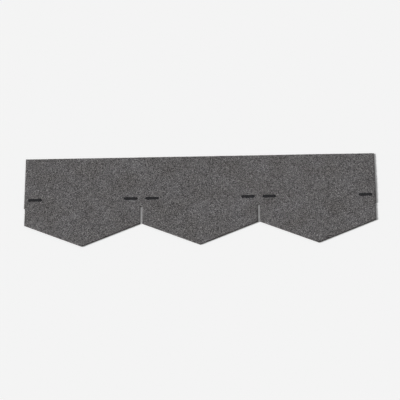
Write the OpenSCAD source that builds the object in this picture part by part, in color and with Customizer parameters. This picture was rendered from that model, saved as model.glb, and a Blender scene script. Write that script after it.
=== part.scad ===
// Asphalt shingle strip with pointed hexagonal tabs.
// One strip is a single sheet of bitumen on glass mat, surfaced with mineral granules and die-cut.
// Laid in courses, each half a tab along from the last, the tabs show as hexagons: the slots are their
// upright sides, and the tips of the next course land on the upper ends of the slots.
// The strip lies granules up. X runs along it, Y from the tab tips to the top edge, Z up.
// The origin is at the middle of the underside. Sizes are in millimetres.

/* [Strip] */
// Length of the strip between its butt ends
strip_length = 1000; // [700:10:1400]
// Height of the strip from the tab tips to the top edge
strip_height = 337; // [300:1:450]
// Thickness of the sheet, granules included
sheet_thickness = 3.2; // [2:0.1:6]

/* [Tabs] */
// Number of tabs along the strip
tab_count = 3; // [2:1:5]
// Height of each course that stays in view, from its tips to the tips of the next course
exposure = 143; // [120:1:160]
// Rise from a tab's tip to its shoulders
tip_rise = 84; // [50:1:100]
// Width of the slot between two tabs
slot_width = 5; // [2:0.5:12]
// Length that a slot runs on under the tip of the next course
slot_run_on = 4; // [1:0.5:12]

/* [Sealant] */
// Length of one dash of hot-melt sealant
dash_length = 40; // [15:1:60]
// Width of one dash
dash_width = 12; // [6:1:18]
// Height of a dash at its crown
dash_height = 0.8; // [0.4:0.1:2]
// Distance from the middle of a slot to the near end of a dash
dash_setback = 10; // [5:1:25]
// Cover of the next course's sloping edge beyond a dash's outer corner
dash_cover = 3; // [1:0.5:10]

/* [Hidden] */
$fn = 360;

// The die's blades pass the sheet's faces and edges by this much.
overrun = 10;
tab_pitch = strip_length / tab_count;
half_tab = tab_pitch / 2;
slot_top = exposure + slot_run_on;
// The next course's sloping edges rise from the tips by this much for each unit along the strip.
edge_slope = tip_rise / half_tab;
// A dash lies as low as the next course still covers it.
dash_low_edge = exposure + (dash_setback + dash_length) * edge_slope + dash_cover;
dash_middle = dash_low_edge + dash_width / 2;
// A dash's crown is an arc over its width.
crown_radius = (pow(dash_width / 2, 2) + pow(dash_height, 2)) / (2 * dash_height);

// Places along the strip where two tabs part, both butt ends included.
function parting(i) = i * tab_pitch - strip_length / 2;

// Outline that the die removes where two tabs part: the notch between their sloping edges, and the slot.
module die_cut() {
    mouth = half_tab + overrun / edge_slope;
    polygon([[-mouth, -overrun], [mouth, -overrun], [0, tip_rise]]);
    translate([-slot_width / 2, -overrun])
        square([slot_width, slot_top + overrun]);
}

// Outline of the whole strip. The cuts at the butt ends leave half a slot, so two strips laid end to end
// show a full one.
module strip_outline() {
    difference() {
        translate([-strip_length / 2, 0])
            square([strip_length, strip_height]);
        for (i = [0 : tab_count])
            translate([parting(i), 0])
                die_cut();
    }
}

// The sheet itself: bitumen, glass mat and granules, bonded into one piece.
module shingle_sheet() {
    color("#5a5858")
        translate([0, -strip_height / 2, 0])
            linear_extrude(height = sheet_thickness)
                strip_outline();
}

// One dash of sealant, with round ends and an arched crown, starting at the origin and running along X.
module sealant_dash() {
    end_radius = dash_width / 2;
    intersection() {
        linear_extrude(height = dash_height) {
            translate([end_radius, -end_radius])
                square([dash_length - dash_width, dash_width]);
            for (x = [end_radius, dash_length - end_radius])
                translate([x, 0])
                    circle(r = end_radius);
        }
        translate([0, 0, dash_height - crown_radius])
            rotate([0, 90, 0])
                cylinder(r = crown_radius, h = dash_length);
    }
}

// Every tip of the next course gets a dash on each side of the slot that it covers.
module sealant_dashes() {
    color("#17171a")
        translate([0, dash_middle - strip_height / 2, sheet_thickness])
            for (i = [0 : tab_count - 1]) {
                translate([parting(i) + dash_setback, 0, 0])
                    sealant_dash();
                translate([parting(i + 1) - dash_setback - dash_length, 0, 0])
                    sealant_dash();
            }
}

shingle_sheet();
sealant_dashes();
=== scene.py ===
import math

import bmesh
import bpy
import numpy as np
from mathutils import Matrix, Vector
from mathutils.geometry import delaunay_2d_cdt


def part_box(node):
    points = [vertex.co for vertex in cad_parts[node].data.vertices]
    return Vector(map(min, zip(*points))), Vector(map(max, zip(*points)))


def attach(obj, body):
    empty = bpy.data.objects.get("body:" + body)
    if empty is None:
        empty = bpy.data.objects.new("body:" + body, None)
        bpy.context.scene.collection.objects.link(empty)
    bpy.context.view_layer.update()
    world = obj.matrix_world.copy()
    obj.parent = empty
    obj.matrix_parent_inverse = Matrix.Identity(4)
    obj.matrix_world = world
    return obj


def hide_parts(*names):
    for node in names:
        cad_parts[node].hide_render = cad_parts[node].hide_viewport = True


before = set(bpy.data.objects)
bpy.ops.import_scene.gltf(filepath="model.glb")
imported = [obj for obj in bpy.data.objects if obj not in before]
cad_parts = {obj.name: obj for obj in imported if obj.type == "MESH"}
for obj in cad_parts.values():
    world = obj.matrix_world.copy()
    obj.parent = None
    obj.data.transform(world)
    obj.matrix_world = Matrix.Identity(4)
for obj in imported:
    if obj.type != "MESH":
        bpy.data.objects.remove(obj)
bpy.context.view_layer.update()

# The sheet of the shingle strip: a glass mat soaked and coated with hot bitumen, with granules of crushed
# rock rolled into its face and sand into its back, all bonded into one piece. A die cuts the cooled web to
# strips, so the cut edges are bare bitumen, a little ragged and rounded over.
MM = 0.001
ROOT_3 = math.sqrt(3)
# Points nearer than this are one.
weld = 0.01 * MM
dice = np.random.default_rng(11)
sheet_low, sheet_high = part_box("shingle_sheet")
sheet_size = sheet_high - sheet_low
thickness = sheet_size.z


def welded(mesh):
    """An editable copy of a mesh with its doubled points joined."""
    copy = bmesh.new()
    copy.from_mesh(mesh)
    bmesh.ops.remove_doubles(copy, verts=copy.verts, dist=weld)
    return copy


# Corners of the die's cut, read off the underside of the CAD sheet and walked round anticlockwise from the
# lower left.
cad_sheet = welded(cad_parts["shingle_sheet"].data)
neighbours = {}
for edge in cad_sheet.edges:
    lies_low = all(vert.co.z < sheet_low.z + weld for vert in edge.verts)
    if lies_low and any(round(face.normal.z) == 0 for face in edge.link_faces):
        for vert in edge.verts:
            neighbours.setdefault(vert, []).append(edge.other_vert(vert))
walk = [min(neighbours, key=lambda vert: vert.co.x + vert.co.y)]
while len(walk) < len(neighbours):
    walk.append(next(vert for vert in neighbours[walk[-1]] if vert not in walk[-2:]))
corners = np.array([vert.co.xy for vert in walk])
cad_sheet.free()
ahead = np.roll(corners, -1, axis=0)
if np.sum(corners[:, 0] * ahead[:, 1] - corners[:, 1] * ahead[:, 0]) < 0:
    corners = np.roll(corners[::-1], 1, axis=0)
tab_count = int(np.sum(corners[:, 1] < sheet_low.y + weld))
tab_pitch = sheet_size.x / tab_count
# The cut's straight sides, each as its two end points.
cut_sides = list(zip(corners, np.roll(corners, -1, axis=0)))


def within_cut(points):
    """True for each point that lies inside the cut."""
    x, y = points.T
    inside = np.zeros(len(points), bool)
    for (x0, y0), (x1, y1) in cut_sides:
        if y0 != y1:
            inside ^= ((y0 > y) != (y1 > y)) & (x < x0 + (x1 - x0) * (y - y0) / (y1 - y0))
    return inside


def distance_to_cut(points):
    """How far each point lies from the nearest cut edge."""
    nearest = np.full(len(points), np.inf)
    for start, end in cut_sides:
        share = np.clip((points - start) @ (end - start) / np.sum((end - start) ** 2), 0, 1)
        offset = points - start - share[:, None] * (end - start)
        nearest = np.minimum(nearest, np.linalg.norm(offset, axis=1))
    return nearest


def web(rim, pitch, stray):
    """Triangles over the sheet, from its rim's points and points a pitch apart inside that stray off a grid.
    Gives all the points, the triangles, and where each of the rim's points stands among them."""
    rows = np.arange(sheet_low.y, sheet_high.y, pitch * ROOT_3 / 2)
    columns = np.arange(sheet_low.x, sheet_high.x, pitch)
    grid = np.stack(np.meshgrid(columns, rows), axis=-1)
    grid[1::2, :, 0] += pitch / 2
    points = (grid + dice.uniform(-stray, stray, grid.shape)).reshape(-1, 2)
    points = points[within_cut(points)]
    points = points[distance_to_cut(points) > pitch / 2]
    given = [Vector(point) for point in np.concatenate([rim, points])]
    rim_order = list(range(len(rim)))
    inside_only = 1
    made_points, _, triangles, sources, _, _ = delaunay_2d_cdt(given, [], [rim_order], inside_only, weld)
    new_place = {old: new for new, olds in enumerate(sources) for old in olds}
    return np.array(made_points), np.array(triangles), np.array([new_place[old] for old in rim_order])


# The cut edge wanders a little to the inside, where granules broke out under the die.
cut_step = 2 * MM
cut_wander = 0.3 * MM
cut_runs = []
for start, end in cut_sides:
    steps = max(1, round(np.linalg.norm(end - start) / cut_step))
    cut_runs.append(start + (end - start) * np.linspace(0, 1, steps, endpoint=False)[:, None])
cut = np.concatenate(cut_runs)
onward = np.roll(cut, -1, axis=0) - np.roll(cut, 1, axis=0)
inward = np.column_stack([-onward[:, 1], onward[:, 0]]) / np.linalg.norm(onward, axis=1)[:, None]
cut = cut + inward * dice.uniform(0, cut_wander, (len(cut), 1))

# Slow waves that the sheet keeps from its pack: each one's length along the strip and across it, and phase.
wave_rise = 0.08 * MM
waves = ((380 * MM, 520 * MM, 0.7), (230 * MM, -330 * MM, 1.9), (740 * MM, 260 * MM, 1.2))


def lift(points):
    """Height of the slow waves at each point: the sheet touches the floor only in places."""
    x, y = points.T
    wave = sum(np.sin(2 * math.pi * (x / along + y / across) + phase) for along, across, phase in waves)
    return wave_rise * (len(waves) + wave)


# The granules stand out of the bitumen by uneven heights. Real ones are 1 to 1.7 mm across: the mesh has
# their peaks and hollows a little coarser, and the material draws the single granules. The die rolls the
# face over along the cut, and breaks granules out close to it.
granule_pitch = 2.05 * MM
granule_stray = 0.65 * MM
granule_rise = 0.18 * MM
deepest_hollow = 0.36 * MM
rolled_margin = 4.2 * MM
rolled_depth = 0.75 * MM
broken_margin = 2 * MM
back_pitch = 12 * MM
back_stray = 2 * MM
face_points, face_triangles, face_rim = web(cut, granule_pitch, granule_stray)
back_points, back_triangles, back_rim = web(cut, back_pitch, back_stray)
to_cut = distance_to_cut(face_points)
near_cut = np.clip(1 - to_cut / broken_margin, 0, 1)
rolled = rolled_depth * np.clip(1 - to_cut / rolled_margin, 0, 1) ** 2
relief = np.clip(dice.normal(0, granule_rise, len(face_points)), -deepest_hollow, deepest_hollow)
# How deep each point lies in a hollow: the granules' material darkens the hollows with painted shade from it.
hollow = np.clip(-relief / deepest_hollow, 0, 1)
face_heights = thickness + lift(face_points) + relief - rolled

# Levels of the cut edge from the face down, as shares of the thickness: the die drags each a little.
wall_shares = (0.6, 0.42, 0.24)
wall_drag = 0.14 * MM
sheet_points = [np.column_stack([face_points, face_heights])]
rings = [face_rim]
for share in wall_shares:
    dragged = cut + inward * dice.uniform(-wall_drag, wall_drag, (len(cut), 1))
    rings.append(sum(map(len, sheet_points)) + np.arange(len(cut)))
    sheet_points.append(np.column_stack([dragged, lift(cut) + share * thickness]))
back_start = sum(map(len, sheet_points))
rings.append(back_start + back_rim)
sheet_points.append(np.column_stack([back_points, lift(back_points)]))
wall_quads = np.concatenate([
    np.column_stack([np.roll(upper, -1), upper, lower, np.roll(lower, -1)])
    for upper, lower in zip(rings, rings[1:])
])
back_triangles = back_triangles[:, ::-1]


def placed(name, data):
    """A new object in the scene."""
    made = bpy.data.objects.new(name, data)
    bpy.context.scene.collection.objects.link(made)
    return made


sheet_mesh = bpy.data.meshes.new("granule_sheet")
sheet_mesh.from_pydata(
    np.concatenate(sheet_points).tolist(), [],
    [*face_triangles.tolist(), *wall_quads.tolist(), *(back_start + back_triangles).tolist()],
)
finish_of_face = np.repeat([0, 1, 2], [len(face_triangles), len(wall_quads), len(back_triangles)])
sheet_mesh.polygons.foreach_set("material_index", finish_of_face.astype(np.int32))
sheet_mesh.polygons.foreach_set("use_smooth", np.ones(len(finish_of_face), bool))
for name, values in (("near_cut", near_cut), ("hollow", hollow)):
    over_all = np.zeros(len(sheet_mesh.vertices), np.float32)
    over_all[:len(values)] = values
    sheet_mesh.attributes.new(name, "FLOAT", "POINT").data.foreach_set("value", over_all)
sheet = placed("granule_sheet", sheet_mesh)

# The flat layout for baked maps. Each tab's part of the face fills a quarter of the square, which gives the
# granules the most room. The back and the cut edge, folded into rows, share the last quarter.
margin = 0.02
inner = 1 - 2 * margin
back_share = 0.7
wall_rows = 4
wall_row_fill = 0.8
face_corners = face_points[face_triangles]
tab = np.minimum((face_corners[:, :, 0].mean(axis=1) - sheet_low.x) // tab_pitch, tab_count - 1)
tab_corner = np.column_stack([sheet_low.x + tab * tab_pitch, np.full(len(tab), sheet_low.y)])
quarter = np.column_stack([tab % 2, tab // 2])
face_spread = (face_corners - tab_corner[:, None]) / max(tab_pitch, sheet_size.y)
face_layout = quarter[:, None] + margin + inner * face_spread
back_spread = (back_points[back_triangles] - sheet_low.xy) / sheet_size.xy
back_layout = 1 + margin + inner * back_spread * (1, back_share)
row_length = math.ceil(len(cut) / wall_rows)
row, step = np.divmod(np.arange(len(cut)), row_length)
wall_levels = len(rings) - 1
wall_band = 1 + margin + inner * back_share + margin
row_height = (2 - margin - wall_band) / wall_rows
wall_layout = []
for level in range(wall_levels):
    across = 1 + margin + inner * (step[:, None] + (1, 0, 0, 1)) / row_length
    height_share = 1 - (level + np.array((0, 0, 1, 1))) / wall_levels
    up = wall_band + row_height * (row[:, None] + wall_row_fill * height_share)
    wall_layout.append(np.dstack([across, up]))
layout = np.concatenate([part.reshape(-1, 2) for part in (face_layout, *wall_layout, back_layout)]) / 2
sheet_mesh.uv_layers.new(name="OFBake").uv.foreach_set("vector", layout.ravel().astype(np.float32))


def linear(code):
    """An sRGB hex colour as linear red, green, blue and alpha."""
    parts = [int(code[i:i + 2], 16) / 255 for i in (1, 3, 5)]
    return (*[p / 12.92 if p <= 0.04045 else ((p + 0.055) / 1.055) ** 2.4 for p in parts], 1.0)


def node(owner, kind, stops=(), **values):
    """Adds a node and gives back its outputs. A name in small letters is a setting. A name with a capital is
    a socket, which takes a value or another node's output. Stops are a colour ramp's places and colours."""
    made = owner.node_tree.nodes.new(kind)
    for name, value in values.items():
        if name[0].islower():
            setattr(made, name, value)
            continue
        socket = next(s for s in made.inputs if s.identifier in (name, name.replace("_", " ")))
        if isinstance(value, bpy.types.NodeSocket):
            owner.node_tree.links.new(value, socket)
        else:
            socket.default_value = value
    for at, (place, code) in enumerate(stops):
        elements = made.color_ramp.elements
        stop = elements[at] if at < len(elements) else elements.new(place)
        stop.position, stop.color = place, linear(code)
    return {output.identifier: output for output in made.outputs}


def bare(owner):
    """A new material or world with its nodes cleared."""
    owner.use_nodes = True
    owner.node_tree.nodes.clear()
    return owner


# Crushed rock with a fired colour coat, rolled into hot bitumen: coarse granules stand over a bed of fine
# ones, each with its own grey and its own tilt, so the face is matt and finely speckled, with bitumen black
# between.
coarse_granule = 1.75 * MM
fine_granule = 0.95 * MM
coarse_rise = 0.45 * MM
fine_rise = 0.22 * MM
chip_size = 1.1 * MM
chip_reach = 0.5 * MM
clump_size = 7 * MM
drift_size = 80 * MM
granule_greys = (
    (0.0, "#4a4748"), (0.2, "#656364"), (0.46, "#7f7d7e"), (0.74, "#9d9b9c"), (0.93, "#bdbbbc"),
)
gap_tone = linear("#1c1b1b")
# Tone of bare bitumen, used also for the painted shade in the hollows.
bitumen_and_shade_tone = linear("#232222")
missing_share = 0.3
facet_share = 0.6
# How far the painted shade darkens the deepest hollows.
hollow_shade_share = 0.35
granules = bare(bpy.data.materials.new("mineral_granules_pressed_in_bitumen"))
place = node(granules, "ShaderNodeTexCoord")["Object"]
chips = node(granules, "ShaderNodeTexNoise", Vector=place, Scale=1 / chip_size, Detail=1.0)
ragged = node(granules, "ShaderNodeVectorMath", operation="MULTIPLY_ADD", Vector=chips["Color"],
              Vector_001=(chip_reach, chip_reach, 0.0), Vector_002=place)["Vector"]
beds = []
for size, rise in ((fine_granule, fine_rise), (coarse_granule, coarse_rise)):
    cell = node(granules, "ShaderNodeTexVoronoi", voronoi_dimensions="2D", Vector=ragged, Scale=1 / size)
    rim = node(granules, "ShaderNodeTexVoronoi", voronoi_dimensions="2D", feature="DISTANCE_TO_EDGE",
               Vector=ragged, Scale=1 / size)["Distance"]
    chance = node(granules, "ShaderNodeSeparateColor", Color=cell["Color"])
    grey = node(granules, "ShaderNodeValToRGB", granule_greys, Fac=chance["Red"])["Color"]
    shoulder = node(granules, "ShaderNodeMapRange", interpolation_type="SMOOTHSTEP", Value=rim,
                    From_Min=0.02, From_Max=0.24)["Result"]
    tilt = node(granules, "ShaderNodeVectorMath", operation="SUBTRACT", Vector=cell["Color"],
                Vector_001=(0.5, 0.5, 0.5))["Vector"]
    arm = node(granules, "ShaderNodeVectorMath", operation="SUBTRACT", Vector=ragged,
               Vector_001=cell["Position"])["Vector"]
    lean = node(granules, "ShaderNodeVectorMath", operation="DOT_PRODUCT", Vector=arm,
                Vector_001=tilt)["Value"]
    height = node(granules, "ShaderNodeMath", operation="MULTIPLY_ADD", Value=shoulder, Value_001=rise,
                  Value_002=lean)["Value"]
    coat = node(granules, "ShaderNodeMapRange", interpolation_type="SMOOTHSTEP", Value=rim,
                From_Min=0.01, From_Max=0.1)["Result"]
    tone = node(granules, "ShaderNodeMix", data_type="RGBA", Factor_Float=coat,
                A_Color=gap_tone, B_Color=grey)["Result_Color"]
    beds.append({"tone": tone, "height": height, "lean": lean, "chance": chance})
fine, coarse = beds
# Some of the coarse granules are missing, and the fine bed shows in their places. The fine cells also break
# the coarse granules' tops into facets.
there = node(granules, "ShaderNodeMath", operation="GREATER_THAN", Value=coarse["chance"]["Blue"],
             Value_001=missing_share)["Value"]
coated = node(granules, "ShaderNodeMix", data_type="RGBA", Factor_Float=there, A_Color=fine["tone"],
              B_Color=coarse["tone"])["Result_Color"]
faceted = node(granules, "ShaderNodeMath", operation="MULTIPLY_ADD", Value=fine["lean"],
               Value_001=facet_share, Value_002=coarse["height"])["Value"]
standing = node(granules, "ShaderNodeMix", data_type="FLOAT", Factor_Float=there, A_Float=fine["height"],
                B_Float=faceted)["Result_Float"]
# The granules drop unevenly, in clumps as wide as a fingertip and in slow drifts as wide as a hand.
for size, shade in ((clump_size, "#dfdedf"), (drift_size, "#e8e6e2")):
    spread = node(granules, "ShaderNodeTexNoise", Vector=place, Scale=1 / size, Detail=2.0)["Fac"]
    tint = node(granules, "ShaderNodeValToRGB", ((0.3, shade), (0.7, "#ffffff")), Fac=spread)["Color"]
    coated = node(granules, "ShaderNodeMix", data_type="RGBA", blend_type="MULTIPLY", Factor_Float=1.0,
                  A_Color=coated, B_Color=tint)["Result_Color"]
# Painted shade darkens the hollows of the face, where bitumen also shows between the granules; along the cut
# the bitumen shows where granules are broken out.
# Painted shade, from how deep each point lies in a hollow.
hollow_shade = node(granules, "ShaderNodeAttribute", attribute_name="hollow")["Fac"]
wear = node(granules, "ShaderNodeAttribute", attribute_name="near_cut")["Fac"]
broken = node(granules, "ShaderNodeMath", operation="MULTIPLY", Value=wear,
              Value_001=coarse["chance"]["Green"])["Value"]
broken_out = node(granules, "ShaderNodeMapRange", Value=broken, From_Min=0.45, From_Max=0.6)["Result"]
sunk = node(granules, "ShaderNodeMath", operation="MULTIPLY_ADD", use_clamp=True, Value=hollow_shade,
            Value_001=hollow_shade_share, Value_002=broken_out)["Value"]
granule_tone = node(granules, "ShaderNodeMix", data_type="RGBA", Factor_Float=sunk, A_Color=coated,
                    B_Color=bitumen_and_shade_tone)["Result_Color"]
granule_gloss = node(granules, "ShaderNodeMapRange", Value=coarse["chance"]["Blue"], To_Min=0.62,
                     To_Max=0.95)["Result"]
granule_normal = node(granules, "ShaderNodeBump", Strength=1.0, Distance=1.0, Height=standing)["Normal"]
surface = node(granules, "ShaderNodeBsdfPrincipled", Base_Color=granule_tone, Roughness=granule_gloss,
               Specular_IOR_Level=0.25, Normal=granule_normal)["BSDF"]
node(granules, "ShaderNodeOutputMaterial", Surface=surface)

# Bitumen filled with crushed limestone, as the die leaves it: dark grey and dull, dragged in fine upright
# streaks and flecked with cut grains of the filler. The broken ends of the glass mat's fibres show as a paler
# ragged line half way up. The grains are under a quarter of a millimetre, and are drawn coarser to show.
streak_size = 0.8 * MM
streak_stretch = 4
filler_pitch = 0.5 * MM
filler_chip = 0.35 * MM
filler_chip_reach = 0.4 * MM
fibre_length = 1.4 * MM
fibre_flatness = 5
mat_height = thickness / 2
mat_half = 0.2 * MM
mat_fade = 0.55 * MM
torn_depth = 0.35 * MM
filler_rise_share = 0.4
cut_tones = ((0.32, "#222221"), (0.52, "#3f3d3c"), (0.72, "#5e5c5a"))
filler_tone = linear("#74716d")
fibre_tone = linear("#8b8782")
cut_bitumen = bare(bpy.data.materials.new("filled_bitumen_die_cut"))
place = node(cut_bitumen, "ShaderNodeTexCoord")["Object"]
drag = node(cut_bitumen, "ShaderNodeMapping", Vector=place, Scale=(1.0, 1.0, 1 / streak_stretch))["Vector"]
streak = node(cut_bitumen, "ShaderNodeTexNoise", Vector=drag, Scale=1 / streak_size, Detail=5.0,
              Roughness=0.65)["Fac"]
streaked = node(cut_bitumen, "ShaderNodeValToRGB", cut_tones, Fac=streak)["Color"]
chips = node(cut_bitumen, "ShaderNodeTexNoise", Vector=place, Scale=1 / filler_chip, Detail=1.0)["Color"]
ragged = node(cut_bitumen, "ShaderNodeVectorMath", operation="MULTIPLY_ADD", Vector=chips,
              Vector_001=(filler_chip_reach,) * 3, Vector_002=place)["Vector"]
filler = node(cut_bitumen, "ShaderNodeTexVoronoi", Vector=ragged, Scale=1 / filler_pitch)
filler_chance = node(cut_bitumen, "ShaderNodeSeparateColor", Color=filler["Color"])["Red"]
filler_size = node(cut_bitumen, "ShaderNodeMapRange", Value=filler_chance, From_Min=0.6, From_Max=1.0,
                   To_Max=0.55)["Result"]
inside_grain = node(cut_bitumen, "ShaderNodeMath", operation="SUBTRACT", Value=filler_size,
                    Value_001=filler["Distance"])["Value"]
fleck = node(cut_bitumen, "ShaderNodeMapRange", Value=inside_grain, From_Min=0.0, From_Max=0.2)["Result"]
flecked = node(cut_bitumen, "ShaderNodeMix", data_type="RGBA", Factor_Float=fleck, A_Color=streaked,
               B_Color=filler_tone)["Result_Color"]
upright = node(cut_bitumen, "ShaderNodeSeparateXYZ", Vector=place)["Z"]
from_mat = node(cut_bitumen, "ShaderNodeMath", operation="SUBTRACT", Value=upright,
                Value_001=mat_height)["Value"]
off_mat = node(cut_bitumen, "ShaderNodeMath", operation="ABSOLUTE", Value=from_mat)["Value"]
mat_line = node(cut_bitumen, "ShaderNodeMapRange", Value=off_mat, From_Min=mat_half, From_Max=mat_fade,
                To_Min=0.8, To_Max=0.0)["Result"]
flat = node(cut_bitumen, "ShaderNodeMapping", Vector=place, Scale=(1.0, 1.0, fibre_flatness))["Vector"]
strand = node(cut_bitumen, "ShaderNodeTexNoise", Vector=flat, Scale=1 / fibre_length, Detail=3.0)["Fac"]
broken_strand = node(cut_bitumen, "ShaderNodeMapRange", Value=strand, From_Min=0.44, From_Max=0.6)["Result"]
fibres = node(cut_bitumen, "ShaderNodeMath", operation="MULTIPLY", Value=mat_line,
              Value_001=broken_strand)["Value"]
cut_tone = node(cut_bitumen, "ShaderNodeMix", data_type="RGBA", Factor_Float=fibres, A_Color=flecked,
                B_Color=fibre_tone)["Result_Color"]
cut_gloss = node(cut_bitumen, "ShaderNodeMapRange", Value=streak, From_Min=0.3, From_Max=0.7, To_Min=0.6,
                 To_Max=0.9)["Result"]
torn = node(cut_bitumen, "ShaderNodeMath", operation="MULTIPLY_ADD", Value=fleck,
            Value_001=filler_rise_share, Value_002=streak)["Value"]
cut_normal = node(cut_bitumen, "ShaderNodeBump", Strength=1.0, Distance=torn_depth, Height=torn)["Normal"]
surface = node(cut_bitumen, "ShaderNodeBsdfPrincipled", Base_Color=cut_tone, Roughness=cut_gloss,
               Specular_IOR_Level=0.3, Normal=cut_normal)["BSDF"]
node(cut_bitumen, "ShaderNodeOutputMaterial", Surface=surface)

# Bitumen dusted with fine sand so that strips don't stick in the pack: a dull brown-black with pale grains.
# The sand is under half a millimetre, drawn a little coarser.
sand_pitch = 0.65 * MM
sand_rise = 0.16 * MM
sand_chip = 0.5 * MM
sand_chip_reach = 0.4 * MM
sand_missing_share = 0.3
smear_size = 25 * MM
sand_tones = ((0.0, "#2c2926"), (0.6, "#544f46"), (1.0, "#9a9184"))
smear_tones = ((0.35, "#1f1d1b"), (0.65, "#33302d"))
sanded_bitumen = bare(bpy.data.materials.new("bitumen_back_dusted_with_sand"))
place = node(sanded_bitumen, "ShaderNodeTexCoord")["Object"]
chips = node(sanded_bitumen, "ShaderNodeTexNoise", Vector=place, Scale=1 / sand_chip, Detail=1.0)["Color"]
ragged = node(sanded_bitumen, "ShaderNodeVectorMath", operation="MULTIPLY_ADD", Vector=chips,
              Vector_001=(sand_chip_reach, sand_chip_reach, 0.0), Vector_002=place)["Vector"]
grain = node(sanded_bitumen, "ShaderNodeTexVoronoi", voronoi_dimensions="2D", Vector=ragged,
             Scale=1 / sand_pitch)
chance = node(sanded_bitumen, "ShaderNodeSeparateColor", Color=grain["Color"])
dome = node(sanded_bitumen, "ShaderNodeMapRange", interpolation_type="SMOOTHSTEP", Value=grain["Distance"],
            From_Min=0.6, From_Max=0.2)["Result"]
held = node(sanded_bitumen, "ShaderNodeMath", operation="GREATER_THAN", Value=chance["Green"],
            Value_001=sand_missing_share)["Value"]
sand = node(sanded_bitumen, "ShaderNodeMath", operation="MULTIPLY", Value=dome, Value_001=held)["Value"]
sand_tone = node(sanded_bitumen, "ShaderNodeValToRGB", sand_tones, Fac=chance["Red"])["Color"]
smear = node(sanded_bitumen, "ShaderNodeTexNoise", Vector=place, Scale=1 / smear_size, Detail=5.0)["Fac"]
smear_tone = node(sanded_bitumen, "ShaderNodeValToRGB", smear_tones, Fac=smear)["Color"]
back_tone = node(sanded_bitumen, "ShaderNodeMix", data_type="RGBA", Factor_Float=sand, A_Color=smear_tone,
                 B_Color=sand_tone)["Result_Color"]
back_gloss = node(sanded_bitumen, "ShaderNodeMapRange", Value=sand, To_Min=0.6, To_Max=0.92)["Result"]
back_normal = node(sanded_bitumen, "ShaderNodeBump", Strength=0.8, Distance=sand_rise, Height=sand)["Normal"]
surface = node(sanded_bitumen, "ShaderNodeBsdfPrincipled", Base_Color=back_tone, Roughness=back_gloss,
               Normal=back_normal)["BSDF"]
node(sanded_bitumen, "ShaderNodeOutputMaterial", Surface=surface)

for material in (granules, cut_bitumen, sanded_bitumen):
    sheet_mesh.materials.append(material)
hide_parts("shingle_sheet")
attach(sheet, "root")

# The dashes of sealant: hot-melt bitumen laid on the granules in short beads above the slots and pressed a
# little flat in the pack. The sun's heat makes them grip the tips of the next course.
dash_low, dash_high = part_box("sealant_dashes")
dash_radius = (dash_high.y - dash_low.y) / 2
dash_middle = (dash_high.y + dash_low.y) / 2
dash_rise = dash_high.z - dash_low.z
dash_sink = 0.5 * MM
rim_wander = 0.9 * MM
rim_knots = 36
lump_rise = 0.08 * MM
lump_size = 1.4 * MM
wide_lump_size = 2 * lump_size
long_lump_size = 3 * lump_size

# Ends of each dash along the strip: a dash is a part of the CAD mesh whose points hang together.
cad_dashes = welded(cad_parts["sealant_dashes"].data)
dash_ends = []
unseen = set(cad_dashes.verts)
while unseen:
    dash = [unseen.pop()]
    for vert in dash:
        joined = {edge.other_vert(vert) for edge in vert.link_edges} & unseen
        unseen -= joined
        dash.extend(joined)
    dash_ends.append((min(vert.co.x for vert in dash), max(vert.co.x for vert in dash)))
cad_dashes.free()
dash_ends.sort()

# Steps round a bead: each has a place on the spine, from 1 at one end to -1 at the other, and a way that it
# faces. The rings step out from the spine under the bead to its rim, and in again over its crown, which
# rises steeply and then levels off.
arc_steps = 28
side_steps = 44
arc = np.linspace(-math.pi / 2, math.pi / 2, arc_steps)
side = np.linspace(1, -1, side_steps + 2)[1:-1]
spine_shares = np.concatenate([np.ones(arc_steps), side, -np.ones(arc_steps), -side])
sideways = np.full(side_steps, math.pi / 2)
facing = np.concatenate([arc, sideways, arc + math.pi, -sideways])
ring_steps = len(facing)
rim_places = np.arange(ring_steps) * rim_knots / ring_steps
sunk_shares = (0.0, 1.0)
crown_shares = (1.0, 0.985, 0.95, 0.89, 0.8, 0.68, 0.54, 0.38, 0.2, 0.0)
level_power = 3
steep_power = 0.6
bead_points, bead_faces = [], []
for start, end in dash_ends:
    first = len(bead_points)
    knots = dice.uniform(-rim_wander, 0, rim_knots)
    reach = dash_radius + np.interp(rim_places, np.arange(rim_knots + 1), [*knots, knots[0]])
    spine = (start + end) / 2 + spine_shares * ((end - start) / 2 - dash_radius)
    phase, cross_phase, wide_phase, long_phase = dice.uniform(0, 2 * math.pi, 4)
    for ring, share in enumerate((*sunk_shares, *crown_shares)):
        x = spine + share * reach * np.cos(facing)
        y = dash_middle + share * reach * np.sin(facing)
        lumps = np.sin(x / lump_size + phase) * np.cos(y / lump_size + cross_phase)
        lumps += np.sin((x + y) / wide_lump_size + wide_phase) * np.cos((x - y) / long_lump_size + long_phase)
        if ring < len(sunk_shares):
            rise = -dash_sink
        else:
            rise = (dash_rise + lump_rise * lumps) * (1 - share ** level_power) ** steep_power
        heights = dash_low.z + lift(np.column_stack([x, y])) + rise
        bead_points.extend(np.column_stack([x, y, heights]).tolist())
        if ring > 0:
            lower = first + (ring - 1) * ring_steps + np.arange(ring_steps)
            ahead = np.roll(lower, -1)
            quads = np.column_stack([lower, ahead, ahead + ring_steps, lower + ring_steps])
            bead_faces.extend(quads.tolist())
bead_mesh = bpy.data.meshes.new("sealant_beads")
bead_mesh.from_pydata(bead_points, [], bead_faces)
closed_beads = welded(bead_mesh)
closed_beads.to_mesh(bead_mesh)
closed_beads.free()
bead_mesh.polygons.foreach_set("use_smooth", np.ones(len(bead_mesh.polygons), bool))
beads = placed("sealant_beads", bead_mesh)

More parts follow.
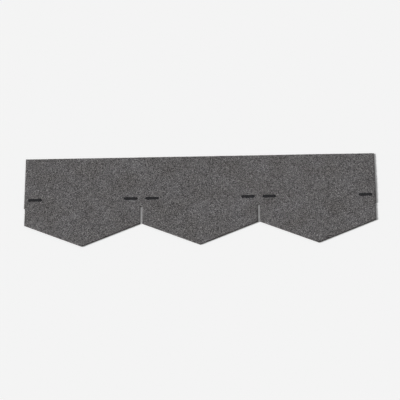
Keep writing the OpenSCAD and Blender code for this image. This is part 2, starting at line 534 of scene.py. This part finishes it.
# Hot-melt bitumen set from the melt: near black, with soft flow marks, dulled by a bloom of stone dust.
flow_size = 5 * MM
flow_depth = 0.6 * MM
dust_size = 1.2 * MM
melt_tones = ((0.42, "#121214"), (0.56, "#1e1e20"), (0.72, "#4b4a4d"))
hot_melt = bare(bpy.data.materials.new("hot_melt_bitumen_set_from_melt"))
place = node(hot_melt, "ShaderNodeTexCoord")["Object"]
flow = node(hot_melt, "ShaderNodeTexNoise", Vector=place, Scale=1 / flow_size, Detail=2.0)["Fac"]
dust = node(hot_melt, "ShaderNodeTexNoise", Vector=place, Scale=1 / dust_size, Detail=4.0,
            Roughness=0.7)["Fac"]
melt_tone = node(hot_melt, "ShaderNodeValToRGB", melt_tones, Fac=dust)["Color"]
melt_gloss = node(hot_melt, "ShaderNodeMapRange", Value=dust, From_Min=0.4, From_Max=0.7, To_Min=0.78,
                  To_Max=1.0)["Result"]
melt_normal = node(hot_melt, "ShaderNodeBump", Strength=0.6, Distance=flow_depth, Height=flow)["Normal"]
surface = node(hot_melt, "ShaderNodeBsdfPrincipled", Base_Color=melt_tone, Roughness=melt_gloss,
               Specular_IOR_Level=0.2, Normal=melt_normal)["BSDF"]
node(hot_melt, "ShaderNodeOutputMaterial", Surface=surface)
bead_mesh.materials.append(hot_melt)
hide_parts("sealant_dashes")
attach(beads, "root")

# The floor: a plain pale studio surface under the strip, wide enough to fill the view from any side.
floor_half = 40.0
backdrop = linear("#f4f4f4")
floor_mesh = bpy.data.meshes.new("studio_floor")
floor_corners = [(x * floor_half, y * floor_half, -weld) for x, y in ((-1, -1), (1, -1), (1, 1), (-1, 1))]
floor_mesh.from_pydata(floor_corners, [], [(0, 1, 2, 3)])
floor = placed("studio_floor", floor_mesh)
paper = bare(bpy.data.materials.new("matt_paper_backdrop"))
surface = node(paper, "ShaderNodeBsdfDiffuse", Color=backdrop)["BSDF"]
node(paper, "ShaderNodeOutputMaterial", Surface=surface)
floor_mesh.materials.append(paper)

# The light: one broad low lamp from the left, across the strip, and an even pale sky. Together they light a
# level surface so that its colour shows as written. Seen straight or in a gloss, the sky is as pale as the
# floor.
lamp_azimuth = math.radians(182)
lamp_elevation = math.radians(26)
lamp_spread = math.radians(18)
sky_share = 0.36


def heading(azimuth, elevation):
    """The way that lies at an azimuth, anticlockwise from +X, and at an elevation over the floor."""
    level = math.cos(elevation)
    return Vector((math.cos(azimuth) * level, math.sin(azimuth) * level, math.sin(elevation)))


lamp = bpy.data.lights.new("broad_lamp", "SUN")
lamp.angle = lamp_spread
lamp.energy = (1 - sky_share) * math.pi / math.sin(lamp_elevation)
lamp_object = placed("broad_lamp", lamp)
lamp_object.rotation_mode = "QUATERNION"
lamp_object.rotation_quaternion = heading(lamp_azimuth, lamp_elevation).to_track_quat("Z", "Y")
sky = bare(bpy.data.worlds.new("pale_sky"))
ray = node(sky, "ShaderNodeLightPath")
mirrored = node(sky, "ShaderNodeMath", operation="MAXIMUM", Value=ray["Is Glossy Ray"],
                Value_001=ray["Is Transmission Ray"])["Value"]
seen = node(sky, "ShaderNodeMath", operation="MAXIMUM", Value=ray["Is Camera Ray"],
            Value_001=mirrored)["Value"]
sky_tone = node(sky, "ShaderNodeMix", data_type="RGBA", Factor_Float=seen,
                A_Color=(sky_share, sky_share, sky_share, 1.0), B_Color=backdrop)["Result_Color"]
surface = node(sky, "ShaderNodeBackground", Color=sky_tone, Strength=1.0)["Background"]
node(sky, "ShaderNodeOutputWorld", Surface=surface)
bpy.context.scene.world = sky
bpy.context.scene.view_settings.view_transform = "Standard"

# The camera: it looks down on the strip at the slant at which the laid surface was taken, through a long
# lens.
view_azimuth = math.radians(1.21)
view_elevation = math.radians(47.8)
view_roll = math.radians(-1.94)
focal_length = 312
image_side = 400
strip_width_px = 352
lens = bpy.data.cameras.new("long_lens")
lens.lens = focal_length
lens.clip_end = 2 * floor_half
distance = sheet_size.x * focal_length / lens.sensor_width * image_side / strip_width_px
backward = heading(view_azimuth - math.pi / 2, view_elevation)
level_right = heading(view_azimuth, 0)
level_up = backward.cross(level_right)
right = level_right * math.cos(view_roll) + level_up * math.sin(view_roll)
camera = placed("camera", lens)
camera.matrix_world = Matrix((right, backward.cross(right), backward)).transposed().to_4x4()
camera.location = (sheet_low + sheet_high) / 2 + backward * distance
bpy.context.scene.camera = camera
